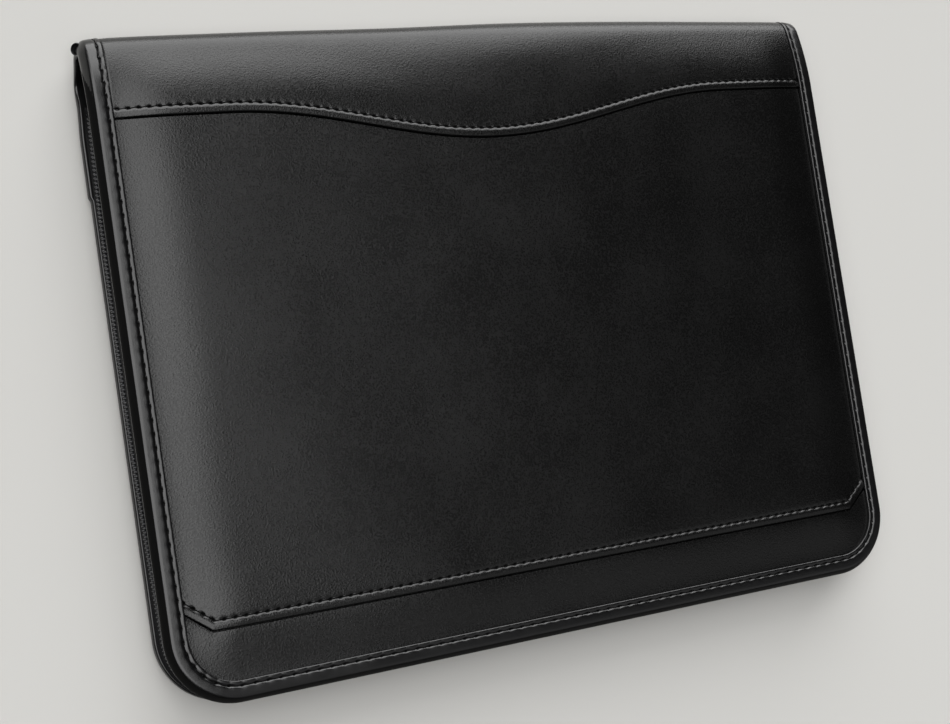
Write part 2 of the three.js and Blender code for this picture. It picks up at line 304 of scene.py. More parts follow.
def fold(x, s, depth):
    """The flat cover's point, bent round the spine.

    The side view gives y, z and the lean at s, and the depth goes in square to it. The spine bows out at its
    middle and is rounded off at its corners: y drops with the square of x, again with the square of the way
    into a corner, and with the cube of y.
    """
    x, s, depth = np.broadcast_arrays(x, s, depth)
    along, side_y, side_z, side_lean = SIDE_VIEW
    lean = np.interp(s, along, side_lean)
    y = np.interp(s, along, side_y) + depth * np.sin(lean)
    z = np.interp(s, along, side_z) - depth * np.cos(lean)
    into_corner = np.clip(1 - (HALF_WIDTH - np.abs(x)) / SPINE_CORNER_RUN, 0, None)
    drop = SPINE_BOW * (x / HALF_WIDTH) ** 2 + SPINE_CORNER_DROP * into_corner**2
    drop = drop * np.clip(y / HALF_HEIGHT, 0, None) ** 3
    return to_points(x, y - drop, z)


def fold_normal(s):
    """Outward direction of the folded cover at s."""
    lean = np.interp(s, SIDE_VIEW[0], SIDE_VIEW[3])
    return to_points(0.0, -np.sin(lean), np.cos(lean))


def inset_at(x, s):
    """Distance from the flat cover's outline, a rounded rectangle, to a point inside it."""
    over_x = np.abs(x) - (HALF_WIDTH - CORNER_RADIUS)
    over_s = np.abs(s - SHEET_LENGTH / 2) - (SHEET_LENGTH / 2 - CORNER_RADIUS)
    outside = np.hypot(np.clip(over_x, 0, None), np.clip(over_s, 0, None))
    return CORNER_RADIUS - outside - np.clip(np.maximum(over_x, over_s), None, 0)


def swell(x, s):
    """How far the padding has swelled: 0 at the binding's lip, 1 a pillow's run inside it, level at both.

    With w the share of the run still ahead it is 1 - 5 w^4 + 4 w^5, steepest a quarter of the way in.
    """
    ahead = np.clip(1 - (inset_at(x, s) - BINDING_FACE) / PILLOW_RUN, 0, 1)
    return 1 - 5 * ahead**4 + 4 * ahead**5


def pillow(x, s, level):
    """Depth of a padded panel that leaves the lip low and swells to its level."""
    return UNDER_LIP + (level - UNDER_LIP) * swell(x, s)


def ripple(x, s, height):
    """Slow unevenness of the padding: three crossing waves of 70 to 440 mm, gone at the lip."""
    wide = 0.6 * np.sin(x / 24 + 0.9) * np.cos(s / 70 + 0.4)
    slant = 0.3 * np.sin(x / 15 + s / 31 + 1.9)
    cross = 0.2 * np.cos(x / 34 - s / 11)
    return height * (wide + slant + cross) * swell(x, s)


def wave_row(x, n):
    """s of the line that runs n inside the yoke's wavy edge, a cosine dip between two level ends."""
    turn = math.pi * np.clip(np.abs(x) / WAVE_HALF_WIDTH, 0, 1)
    edge = front_s(WAVE_END_Y) - WAVE_DIP * (0.5 + 0.5 * np.cos(turn))
    slope = WAVE_DIP / 2 * np.sin(turn) * math.pi / WAVE_HALF_WIDTH
    return edge + n * np.sqrt(1 + slope**2)


def lower_row(x, n):
    """s of the line that runs n inside the front panel's lower edge, mitred where the edge turns up."""
    rise = (np.abs(x) - CHAMFER_X) * CHAMFER_SLOPE
    return front_s(LOWER_SEAM_Y) + np.maximum(n, rise + n * math.hypot(1, CHAMFER_SLOPE))


def zip_edge(x):
    """s of a panel's edge inside the zip edge's binding, with its two rounded corners."""
    overhang = np.clip(np.abs(x) - (HALF_WIDTH - CORNER_RADIUS), 0, None)
    radius = CORNER_RADIUS - PANEL_INSET
    return CORNER_RADIUS - np.sqrt(np.clip(radius**2 - overhang**2, 0, None))


def seam_length(x, row):
    """Length along a seam's stitch line at each column x."""
    s = row(x, SEAM_INSET)
    return np.concatenate([[0], np.cumsum(np.hypot(np.diff(x), np.diff(s)))])


def columns(spacing):
    """Even columns across a panel, about the given distance apart."""
    return np.linspace(-PANEL_X, PANEL_X, 2 * round(PANEL_X / spacing) + 1)


def crowded(count):
    """Shares of a stitch's length from one needle hole to the next, crowded round the holes."""
    share = np.linspace(0, 1, count, endpoint=False)
    return share - HOLE_CROWDING * np.sin(2 * math.pi * share) / (2 * math.pi)


def stitch_columns(row, pitch):
    """Columns across a panel, crowded round the needle holes of its seam."""
    even = columns(0.5)
    length_at = seam_length(even, row)
    stitch = np.arange(int(length_at[-1] / pitch) + 1)[:, None]
    x = np.interp((pitch * (stitch + crowded(10))).ravel()[1:], length_at, even)
    return np.concatenate([[-PANEL_X], x[x < PANEL_X - 0.05], [PANEL_X]])


def hem_steps():
    """Distances inside a hem's edge, close together round the edge and at the stitch line."""
    edge = np.linspace(0, HEM_ROUND, 6)
    band = np.linspace(HEM_ROUND, SEAM_INSET - HOLE_REACH, 7)[1:]
    seam = np.linspace(SEAM_INSET - HOLE_REACH, SEAM_INSET + HOLE_REACH, 11)[1:]
    past = np.linspace(SEAM_INSET + HOLE_REACH, HEM_REACH, 9)[1:]
    return np.concatenate([edge, band, seam, past])


def hem_depth(n):
    """Section of a folded hem at n inside its edge, below the hem's crest.

    The edge is a quarter ellipse, the band rises to a dome beside the stitches, which pull a round groove,
    and past them the panel lies one leather thickness lower.
    """
    edge = np.clip(1 - n / HEM_ROUND, 0, 1)
    rounded = HEM_DROP * (1 - np.sqrt(1 - edge**2))
    dome = HEM_DOME * np.sin(math.pi * np.clip(n / SEAM_INSET, 0, 1) ** 1.2) ** 2
    groove = GROOVE_DEPTH * bell(n - SEAM_INSET, GROOVE_WIDTH)
    past = HEM_STEP * smoothstep((n - 0.8 * SEAM_INSET) / (0.4 * SEAM_INSET))
    return rounded - dome + groove + past


def needle_holes(along, pitch, across):
    """1 at each needle hole along a seam, falling off as a point that is drawn out along the seam."""
    away = ((along / pitch + 0.5) % 1 - 0.5) * pitch
    return np.exp(-np.hypot(away / HOLE_LONG, across) / HOLE_ROUND)


def hemmed_surface(x, s, n, height):
    """Depth of a front panel n inside its hem's edge, without the needle holes."""
    settle = FRONT_FIELD - HEM_LEVEL - HEM_STEP
    level = HEM_LEVEL + settle * smoothstep((n - SETTLE_FROM) / SETTLE_RUN)
    return pillow(x, s, level) + hem_depth(n) + ripple(x, s, height)


def seam_holes(along, pitch, n):
    """Depth that the needle holes add along a hem's stitch line."""
    return HOLE_DEPTH * needle_holes(along, pitch, n - SEAM_INSET)


def under_hem(gap):
    """How much a panel dips at a gap from the hem that lies on it."""
    return TUCK_DIP * np.exp(-gap / TUCK_DIP_RUN)


def spine_lift(x, s):
    """How far the yoke is pulled up over the round spine.

    Beside the lips it is flush with them, and between them it swells as a bell, a little right of the middle.
    """
    over = smoothstep((s - FRONT_FLAT) / (SPINE_START - FRONT_FLAT))
    over = over - smoothstep((s - SPINE_END) / (BACK_FLAT - SPINE_END))
    beside_lip = smoothstep((inset_at(x, s) - BINDING_FACE + FLUSH_UNDER) / FLUSH_RUN)
    flush = (UNDER_LIP - FLUSH_LEVEL) * (1 - swell(x, s)) * beside_lip
    return over * (flush + SPINE_SWELL * bell(x - SPINE_SWELL_X, SPINE_SWELL_WIDTH))


def loft(rings, size, closed=False):
    """Faces between equal rings of points: quads to the next point and the next ring.

    A run of rings that doesn't close on itself gets a face over its first and over its last ring.
    """
    index = np.arange(rings * size).reshape(rings, size)
    here = index if closed else index[:-1]
    ahead = np.roll(index, -1, axis=0) if closed else index[1:]
    quads = np.stack([here, ahead, np.roll(ahead, -1, axis=1), np.roll(here, -1, axis=1)], axis=-1)
    if closed:
        return [quads.reshape(-1, 4)]
    return [quads.reshape(-1, 4), np.stack([index[0], index[-1][::-1]])]


def repeat(faces, copies, points_each):
    """The same faces for each of several equal runs of points that follow one another."""
    offset = points_each * np.arange(copies)[:, None, None]
    return [(group[None] + offset).reshape(-1, group.shape[1]) for group in faces]


def join(*shapes):
    """Several shapes of points and faces as one."""
    points = [shape_points.reshape(-1, 3) for shape_points, _ in shapes]
    starts = np.cumsum([0] + [len(group) for group in points])
    faces = [group + start for (_, groups), start in zip(shapes, starts) for group in groups]
    return np.concatenate(points), faces


def loft_uv(u, v, caps):
    """Corner UVs of a lofted strip: u along it at each ring, v round it, and none on its two caps."""
    u_here, v_here = np.meshgrid(u[:-1], v[:-1], indexing="ij")
    u_next, v_next = np.meshgrid(u[1:], v[1:], indexing="ij")
    corners = [(u_here, v_here), (u_next, v_here), (u_next, v_next), (u_here, v_next)]
    quads = np.stack([np.stack(corner, axis=-1) for corner in corners], axis=2)
    return np.concatenate([quads.reshape(-1, 2), np.zeros((2 * caps, 2))])


def tube(centre, normal, radius):
    """Tubes along lines of points: rings of an angle v round the tangent, from its side to the normal.

    centre and normal are lines by points by 3, and radius is broadcast to lines by points by ring points.
    """
    tangent = unit(np.gradient(centre, axis=1))
    side = unit(np.cross(tangent, normal))
    v = np.linspace(0, 2 * math.pi, radius.shape[-1], endpoint=False)
    ring = np.cos(v)[:, None] * side[:, :, None] + np.sin(v)[:, None] * np.cross(side, tangent)[:, :, None]
    points = centre[:, :, None] + radius[..., None] * ring
    lines, steps, sides = points.shape[:3]
    return points, repeat(loft(steps, sides), lines, steps * sides)


def corner_arc(centre_x, centre_y, radius, start):
    """Quarter circle, counter-clockwise from an angle, as rows of x, y and outward angle."""
    angle = start + np.linspace(0, math.pi / 2, 60)
    return np.stack([centre_x + radius * np.cos(angle), centre_y + radius * np.sin(angle), angle], axis=1)


def walk(path, distance):
    """Points at distances along a path of x, y and outward angle: x, y and the outward direction."""
    steps = np.hypot(np.diff(path[:, 0]), np.diff(path[:, 1]))
    along = np.concatenate([[0], np.cumsum(steps)])
    x, y, angle = (np.interp(distance, along, column) for column in path.T)
    return x, y, np.cos(angle), np.sin(angle)


def path_length(path):
    """Length of a path of x, y and outward angle."""
    return np.hypot(np.diff(path[:, 0]), np.diff(path[:, 1])).sum()


def binding_path():
    """The bindings' stitch line on the flat cover: a rounded rectangle, counter-clockwise."""
    half_x = HALF_WIDTH - CORNER_RADIUS
    low, high = CORNER_RADIUS, SHEET_LENGTH - CORNER_RADIUS
    radius = CORNER_RADIUS - BINDING_GROOVE
    quarter = math.pi / 2
    arcs = [
        corner_arc(half_x, low, radius, -quarter),
        corner_arc(half_x, high, radius, 0),
        corner_arc(-half_x, high, radius, quarter),
        corner_arc(-half_x, low, radius, 2 * quarter),
    ]
    close = arcs[0][:1] + [0, 0, 4 * quarter]
    return np.concatenate([*arcs, close])


def zip_path():
    """The folder's outline along the zip: down the left side, round the zip edge and up the right."""
    half_x = HALF_WIDTH - CORNER_RADIUS
    low = CORNER_RADIUS - HALF_HEIGHT
    arcs = [
        corner_arc(-half_x, low, CORNER_RADIUS, math.pi),
        corner_arc(half_x, low, CORNER_RADIUS, 1.5 * math.pi),
    ]
    ends = [[[-HALF_WIDTH, ZIP_TOP_Y, math.pi]], [[HALF_WIDTH, ZIP_TOP_Y, 2 * math.pi]]]
    return np.concatenate([ends[0], *arcs, ends[1]])


def smooth_through(points, steps):
    """Catmull-Rom curve through points: cubics whose tangent at a point is half its neighbours' chord."""
    first, last = 2 * points[:1] - points[1:2], 2 * points[-1:] - points[-2:-1]
    padded = np.concatenate([first, points, last])[:, None]
    a, b, c, d = padded[:-3], padded[1:-2], padded[2:-1], padded[3:]
    t = np.linspace(0, 1, steps, endpoint=False)[None, :, None]
    curve = 2 * b + (c - a) * t + (2 * a - 5 * b + 4 * c - d) * t**2 + (3 * b - a - 3 * c + d) * t**3
    return np.concatenate([curve.reshape(-1, points.shape[1]) / 2, points[-1:]])


def add_piece(context, name, shape, material, nodes=(), uv=None):
    """Makes a smooth-shaded piece at the origin that rides on the folder's only body."""
    points, faces = shape
    mesh = bpy.data.meshes.new(name)
    vertices = (points.reshape(-1, 3) * MM).tolist()
    mesh.from_pydata(vertices, [], [face for group in faces for face in group.tolist()])
    if uv is not None:
        mesh.uv_layers.new(name="weave").data.foreach_set("uv", uv.ravel())
    mesh.shade_smooth()
    mesh.set_sharp_from_angle(angle=math.radians(60))
    mesh.materials.append(material)
    piece = bpy.data.objects.new(name, mesh)
    context.scene.collection.objects.link(piece)
    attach(piece, "root")
    if nodes:
        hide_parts(*nodes)
    return piece


def add_node(tree, kind, inputs=None, **settings):
    """Adds a shader node with its settings, its sockets' values and the links into it."""
    node = tree.nodes.new(kind)
    for name, value in settings.items():
        setattr(node, name, value)
    for name, value in (inputs or {}).items():
        if isinstance(value, bpy.types.NodeSocket):
            tree.links.new(value, node.inputs[name])
        else:
            node.inputs[name].default_value = value
    return node


def finish(context, build):
    """The material named after a function that gives its shader's sockets, made once and then reused."""
    material = bpy.data.materials.get(build.__name__)
    if material is None:
        material = bpy.data.materials.new(build.__name__)
        material.use_nodes = True
        tree = material.node_tree
        tree.nodes.clear()
        sockets = build(tree, context.scene.folder_sizes, context.scene.folder_colours)
        shader = add_node(tree, "ShaderNodeBsdfPrincipled", sockets)
        add_node(tree, "ShaderNodeOutputMaterial", {"Surface": shader.outputs["BSDF"]})
    return material


def grained_leather(tree, sizes, colours):
    """Coated split leather, pressed with a fine pebble grain and left satin.

    It gives the eye a deep black whose wide soft sheen breaks up on small pebbles, with painted shade making
    the creases between them darker than their tops.
    """
    place = add_node(tree, "ShaderNodeTexCoord").outputs["Object"]
    cells = {"Vector": place, "Scale": 1 / sizes.grain, "Smoothness": 0.6}
    pebbles = add_node(tree, "ShaderNodeTexVoronoi", cells, feature="SMOOTH_F1").outputs["Distance"]
    pores = add_node(tree, "ShaderNodeTexNoise", {"Vector": place, "Scale": 1.3 / sizes.grain, "Detail": 1.0})
    relief = {0: pebbles, 1: -0.5, 2: pores.outputs["Fac"]}
    relief = add_node(tree, "ShaderNodeMath", relief, operation="MULTIPLY_ADD").outputs[0]
    bump = {"Height": relief, "Distance": sizes.grain_depth}
    bump = add_node(tree, "ShaderNodeBump", bump).outputs["Normal"]
    cloud = {"Vector": place, "Scale": 1 / (30 * MM), "Detail": 3.0}
    cloud = add_node(tree, "ShaderNodeTexNoise", cloud).outputs["Fac"]
    gloss = {"Value": cloud, "From Min": 0.3, "From Max": 0.7, "To Min": 0.18, "To Max": 0.22}
    gloss = add_node(tree, "ShaderNodeMapRange", gloss).outputs["Result"]
    gloss = {0: pebbles, 1: 0.16, 2: gloss}
    gloss = add_node(tree, "ShaderNodeMath", gloss, operation="MULTIPLY_ADD").outputs[0]
    # Painted shade in the grain: the creases get the darker colour and the pebble tops the lighter one
    tint = {0: pebbles, 6: tuple(colours.leather_tops), 7: tuple(colours.leather)}
    tint = add_node(tree, "ShaderNodeMix", tint, data_type="RGBA").outputs[2]
    return {"Base Color": tint, "Roughness": gloss, "Normal": bump, "IOR": 1.5}


def smooth_leather(tree, sizes, colours):
    """Thin coated leather, turned smooth over an edge and rubbed by hands.

    It gives the eye a tighter, brighter sheen than the panels, with faint creases.
    """
    place = add_node(tree, "ShaderNodeTexCoord").outputs["Object"]
    creases = {"Vector": place, "Scale": 1 / (1.2 * sizes.grain), "Detail": 3.0, "Distortion": 0.6}
    creases = add_node(tree, "ShaderNodeTexNoise", creases).outputs["Fac"]
    bump = {"Height": creases, "Distance": 0.3 * sizes.grain_depth}
    bump = add_node(tree, "ShaderNodeBump", bump).outputs["Normal"]
    rub = {"Vector": place, "Scale": 1 / (14 * MM), "Detail": 4.0}
    rub = add_node(tree, "ShaderNodeTexNoise", rub).outputs["Fac"]
    gloss = {"Value": rub, "From Min": 0.3, "From Max": 0.7, "To Min": 0.27, "To Max": 0.21}
    gloss = add_node(tree, "ShaderNodeMapRange", gloss).outputs["Result"]
    tint = {0: rub, 6: tuple(colours.binding), 7: tuple(colours.binding_worn)}
    tint = add_node(tree, "ShaderNodeMix", tint, data_type="RGBA").outputs[2]
    return {"Base Color": tint, "Roughness": gloss, "Normal": bump, "IOR": 1.55}


def rubbed_leather(tree, sizes, colours):
    """Leather without its finish: rubbed off down the binding's side, raw on its inside and in needle holes.

    It gives the eye a soft black that hardly shines.
    """
    place = add_node(tree, "ShaderNodeTexCoord").outputs["Object"]
    nap = add_node(tree, "ShaderNodeTexNoise", {"Vector": place, "Scale": 1 / sizes.grain, "Detail": 3.0})
    gloss = {"Value": nap.outputs["Fac"], "To Min": 0.5, "To Max": 0.7}
    gloss = add_node(tree, "ShaderNodeMapRange", gloss).outputs["Result"]
    return {"Base Color": tuple(colours.binding), "Roughness": gloss, "Specular IOR Level": 0.06}


def polyester_thread(tree, sizes, colours):
    """Bonded polyester thread: twisted, dull, with a faint lustre on its plies."""
    place = add_node(tree, "ShaderNodeTexCoord").outputs["Object"]
    fibres = {"Vector": place, "Scale": 1 / (0.3 * sizes.thread), "Detail": 2.0}
    fibres = add_node(tree, "ShaderNodeTexNoise", fibres).outputs["Fac"]
    bump = add_node(tree, "ShaderNodeBump", {"Height": fibres, "Distance": 0.05 * sizes.thread})
    gloss = {"Value": fibres, "To Min": 0.5, "To Max": 0.75}
    gloss = add_node(tree, "ShaderNodeMapRange", gloss).outputs["Result"]
    return {
        "Base Color": tuple(colours.thread),
        "Roughness": gloss,
        "Normal": bump.outputs["Normal"],
        "Specular IOR Level": 0.04,
    }


def herringbone_tape(tree, sizes, colours):
    """Woven polyester zip tape with herringbone ribs, matt.

    The real ribs are about half as far apart, and are drawn coarser here so that they show.
    """
    weave = add_node(tree, "ShaderNodeUVMap", uv_map="weave").outputs["UV"]
    weave = add_node(tree, "ShaderNodeSeparateXYZ", {"Vector": weave})
    zigzag = {0: weave.outputs["Y"], 1: 1.6 * sizes.weave}
    zigzag = add_node(tree, "ShaderNodeMath", zigzag, operation="PINGPONG").outputs[0]
    slant = add_node(tree, "ShaderNodeMath", {0: weave.outputs["X"], 1: zigzag}, operation="ADD").outputs[0]
    turns = {0: slant, 1: 2 * math.pi / sizes.weave}
    turns = add_node(tree, "ShaderNodeMath", turns, operation="MULTIPLY").outputs[0]
    ribs = add_node(tree, "ShaderNodeMath", {0: turns}, operation="SINE").outputs[0]
    ribs = {"Value": ribs, "From Min": -1.0, "From Max": 1.0}
    ribs = add_node(tree, "ShaderNodeMapRange", ribs).outputs["Result"]
    bump = add_node(tree, "ShaderNodeBump", {"Height": ribs, "Distance": 0.2 * sizes.weave})
    # Painted highlight: the raised ribs get the lighter colour; the herringbone layout is the weave's own
    tint = {0: ribs, 6: tuple(colours.tape), 7: tuple(colours.tape_ribs)}
    tint = add_node(tree, "ShaderNodeMix", tint, data_type="RGBA").outputs[2]
    return {
        "Base Color": tint,
        "Roughness": 0.8,
        "Normal": bump.outputs["Normal"],
        "Sheen Weight": 0.02,
        "Specular IOR Level": 0.15,
    }


def nylon_coil(tree, sizes, colours):
    """Extruded nylon, wound into teeth: dark grey, with a soft plastic gloss."""
    place = add_node(tree, "ShaderNodeTexCoord").outputs["Object"]
    scuffs = {"Vector": place, "Scale": 1 / (0.5 * sizes.tooth_pitch), "Detail": 2.0}
    scuffs = add_node(tree, "ShaderNodeTexNoise", scuffs).outputs["Fac"]
    gloss = {"Value": scuffs, "To Min": 0.2, "To Max": 0.4}
    gloss = add_node(tree, "ShaderNodeMapRange", gloss).outputs["Result"]
    return {"Base Color": tuple(colours.teeth), "Roughness": gloss, "IOR": 1.53}


def gunmetal_plate(tree, sizes, colours):
    """Die-cast zinc, tumbled smooth and plated dark: a soft grey metal sheen with fine scuffs."""
    place = add_node(tree, "ShaderNodeTexCoord").outputs["Object"]
    scuffs = {"Vector": place, "Scale": 1 / sizes.tooth_pitch, "Detail": 5.0}
    scuffs = add_node(tree, "ShaderNodeTexNoise", scuffs).outputs["Fac"]
    gloss = {"Value": scuffs, "To Min": 0.25, "To Max": 0.5}
    gloss = add_node(tree, "ShaderNodeMapRange", gloss).outputs["Result"]
    return {"Base Color": tuple(colours.slider), "Metallic": 1.0, "Roughness": gloss}


def matt_card(tree, sizes, colours):
    """Heavy uncoated card, rolled flat: pale and matt, with a faint cloudiness."""
    place = add_node(tree, "ShaderNodeTexCoord").outputs["Object"]
    cloud = add_node(tree, "ShaderNodeTexNoise", {"Vector": place, "Scale": 1 / (333 * MM), "Detail": 3.0})
    gloss = {"Value": cloud.outputs["Fac"], "To Min": 0.85, "To Max": 0.95}
    gloss = add_node(tree, "ShaderNodeMapRange", gloss).outputs["Result"]
    return {"Base Color": tuple(colours.floor), "Roughness": gloss, "Specular IOR Level": 0.2}


# Camera: where it stands, what it looks at and which way is up in its picture
CAMERA_PLACE = (-333.95, -49.16, 641.60)
CAMERA_AIM = (-27.7, -14.2, 25.0)
CAMERA_UP = (0.1114, 0.9875, 0.1114)
SENSOR_WIDTH = 36
FLOOR_HALF = 20000

# Lights: the way from the folder to each, and its width in degrees
LIGHTS = {
    "overhead": ((-0.34, 0.1, 0.93), 68),
    "behind": ((0.18, 0.9, 0.38), 66),
    "front": ((0.5, -0.55, 0.67), 50),
}


def add_light(context, name, towards, angle, energy):
    """A wide, even light far away: towards points from the folder to it, and angle is its width."""
    light = bpy.data.lights.new(name, "SUN")
    light.angle = math.radians(angle)
    light.energy = energy
    lamp = bpy.data.objects.new(name, light)
    lamp.rotation_euler = Vector(towards).to_track_quat("Z", "Y").to_euler()
    context.scene.collection.objects.link(lamp)


class FOLDER_OT_stage(bpy.types.Operator):
    """Set up the camera, the floor and the lights"""

    bl_idname = "folder.stage"
    bl_label = "Stage"

    def execute(self, context):
        scene = context.scene
        stage = scene.folder_stage
        camera = bpy.data.objects.new("camera", bpy.data.cameras.new("camera"))
        camera.data.sensor_fit = "HORIZONTAL"
        camera.data.sensor_width = SENSOR_WIDTH
        camera.data.lens = stage.lens
        place = Vector(CAMERA_PLACE) * MM
        back = (place - Vector(CAMERA_AIM) * MM).normalized()
        right = Vector(CAMERA_UP).cross(back).normalized()
        axes = Matrix((right, back.cross(right), back)).transposed()
        camera.matrix_world = Matrix.Translation(place) @ axes.to_4x4()
        scene.collection.objects.link(camera)
        scene.camera = camera
        scene.view_settings.view_transform = "Standard"

        far = FLOOR_HALF * MM
        mesh = bpy.data.meshes.new("floor")
        corners = [(-far, -far, 0), (far, -far, 0), (far, far, 0), (-far, far, 0)]
        mesh.from_pydata(corners, [], [(0, 1, 2, 3)])
        mesh.materials.append(finish(context, matt_card))
        floor = bpy.data.objects.new("floor", mesh)
        scene.collection.objects.link(floor)

        for name, (towards, angle) in LIGHTS.items():
            add_light(context, name, towards, angle, getattr(stage, name))
        world = bpy.data.worlds.new("surround")
        world.use_nodes = True
        sky = world.node_tree.nodes["Background"].inputs
        sky["Strength"].default_value = stage.surround
        sky["Color"].default_value = (1, 1, 1, 1)
        scene.world = world
        return {"FINISHED"}


def leave_bare(context, piece, bare):
    """Gives the faces for which bare is true, in the piece's order, leather without a finish."""
    piece.data.materials.append(finish(context, rubbed_leather))
    indices = np.zeros(len(piece.data.polygons), np.int32)
    indices[: bare.size] = bare.ravel()
    piece.data.polygons.foreach_set("material_index", indices)


def between(start, end, count):
    """Rows from start, left out, to end, as columns by rows."""
    return start + (end - start) * np.linspace(0, 1, count + 1)[1:]


def hemmed_face(x, row, past, pitch, height):
    """A front panel's face at each column x, from its hem's edge over the rows of s past the hem.

    Gives s, the depth with the needle holes in it, and the holes' own depth.
    """
    across = x[:, None]
    hem = row(across, hem_steps())
    s = np.concatenate([hem, past], axis=1)
    n = np.concatenate([np.broadcast_to(hem_steps(), hem.shape), past - row(across, 0)], axis=1)
    holes = seam_holes(seam_length(x, row)[:, None], pitch, n)
    return s, hemmed_surface(across, s, n, height) + holes, holes


def add_panel(context, name, node, x, outer, depth, inner, holes=None):
    """Makes a padded panel: one ring for each column x, out along its face and back along its inside.

    outer and depth are the face's rows, and inner lists the inside's as pairs of s and depth. Where the depth
    of needle holes is given, the faces that lie in them are left bare.
    """
    s = np.concatenate([outer] + [inner_s for inner_s, _ in inner], axis=1)
    levels = [np.full_like(inner_s, level) for inner_s, level in inner]
    shape = fold(x[:, None], s, np.concatenate([depth] + levels, axis=1)), loft(*s.shape)
    panel = add_piece(context, name, shape, finish(context, grained_leather), [node])
    if holes is not None:
        raw = np.zeros((len(x) - 1, s.shape[1]), bool)
        raw[:, : holes.shape[1] - 1] = (holes[:-1, :-1] + holes[1:, 1:]) / 2 > HOLE_RAW
        leave_bare(context, panel, raw)


class FOLDER_OT_front_panel(bpy.types.Operator):
    """Build the main front panel: hemmed along the lower seam, tucked under the yoke"""

    bl_idname = "folder.front_panel"
    bl_label = "Front Panel"

    def execute(self, context):
        sizes = context.scene.folder_sizes
        pitch = sizes.lower_stitch / MM
        x = stitch_columns(lower_row, pitch)
        across = x[:, None]
        top = wave_row(across, 0)
        field = between(lower_row(across, HEM_REACH), top - 1.5 * TUCK_GAP, 36)
        outer, depth, holes = hemmed_face(x, lower_row, field, pitch, sizes.padding_ripple / MM)
        depth += under_hem(top - outer)
        inner = [
            (top - TUCK_GAP, LAP_UNDER),
            (top + LAP, LAP_UNDER),
            (top + LAP, PANEL_INSIDE),
            (lower_row(across, LAP + 2 * TUCK_GAP), PANEL_INSIDE),
            (lower_row(across, LAP + TUCK_GAP), LAP_OVER),
            (lower_row(across, TUCK_GAP), LAP_OVER),
        ]
        add_panel(context, "padded_front", "front_panel", x, outer, depth, inner, holes)
        return {"FINISHED"}


class FOLDER_OT_lower_band(bpy.types.Operator):
    """Build the low band along the zip edge, tucked under the front panel"""

    bl_idname = "folder.lower_band"
    bl_label = "Lower Band"

    def execute(self, context):
        sizes = context.scene.folder_sizes
        x = columns(1)
        across = x[:, None]
        edge = zip_edge(across)
        top = lower_row(across, 0)
        spread = np.linspace(0, 1, 34) ** 0.8
        outer = edge + (top - 1.5 * TUCK_GAP - edge) * spread
        depth = pillow(across, outer, FRONT_FIELD) + ripple(across, outer, sizes.padding_ripple / MM)
        depth += under_hem(top - outer)
        inner = [
            (top - TUCK_GAP, LAP_UNDER),
            (top + LAP, LAP_UNDER),
            (top + LAP, PANEL_INSIDE),
            (edge, PANEL_INSIDE),
        ]
        add_panel(context, "padded_band", "lower_band", x, outer, depth, inner)
        return {"FINISHED"}


class FOLDER_OT_spine_yoke(bpy.types.Operator):
    """Build the yoke: from its wave on the front, over the spine, to a straight hem on the back"""

    bl_idname = "folder.spine_yoke"
    bl_label = "Spine Yoke"

    def execute(self, context):
        sizes = context.scene.folder_sizes
        pitch = sizes.wave_stitch / MM
        x = stitch_columns(wave_row, pitch)
        across = x[:, None]
        rise = between(wave_row(across, HEM_REACH), SPINE_START, 10)
        apron_edge = back_s(APRON_EDGE_Y)
        apron = apron_edge - hem_steps()[::-1]
        down = between(BACK_FLAT, apron[0], 4)[:-1]
        bend = np.concatenate([between(SPINE_START, BACK_FLAT, 24), down, apron])
        past = np.concatenate([rise, np.broadcast_to(bend, (len(x), len(bend)))], axis=1)
        outer, front, holes = hemmed_face(x, wave_row, past, pitch, sizes.padding_ripple / MM)
        back_n = apron_edge - outer
        back = pillow(across, outer, APRON_LEVEL) + APRON_SHARE * hem_depth(back_n)
        back += APRON_SHARE * seam_holes(across, sizes.lower_stitch / MM, back_n)
        share = smoothstep((outer - SPINE_MIDDLE) / (BACK_FLAT - SPINE_MIDDLE))
        depth = front * (1 - share) + back * share - spine_lift(across, outer)
        inner = [(outer[:, ::-6], YOKE_INSIDE)]
        add_panel(context, "padded_yoke", "spine_yoke", x, outer, depth, inner, holes)
        return {"FINISHED"}


class FOLDER_OT_back_panel(bpy.types.Operator):
    """Build the padded back, tucked under the yoke's hem"""

    bl_idname = "folder.back_panel"
    bl_label = "Back Panel"

    def execute(self, context):
        x = columns(2)
        across = x[:, None]
        apron_edge = back_s(APRON_EDGE_Y)
        edge = SHEET_LENGTH - zip_edge(across)
        outer = between(apron_edge + TUCK_GAP, edge, 60)
        depth = pillow(across, outer, BACK_FIELD) + under_hem(outer - apron_edge)
        inner = [
            (edge, PANEL_INSIDE),
            (np.full_like(edge, apron_edge - LAP), PANEL_INSIDE),
            (np.full_like(edge, apron_edge - LAP), LAP_UNDER),
            (np.full_like(edge, apron_edge + TUCK_GAP), LAP_UNDER),
        ]
        add_panel(context, "padded_back", "back_panel", x, outer, depth, inner)
        return {"FINISHED"}


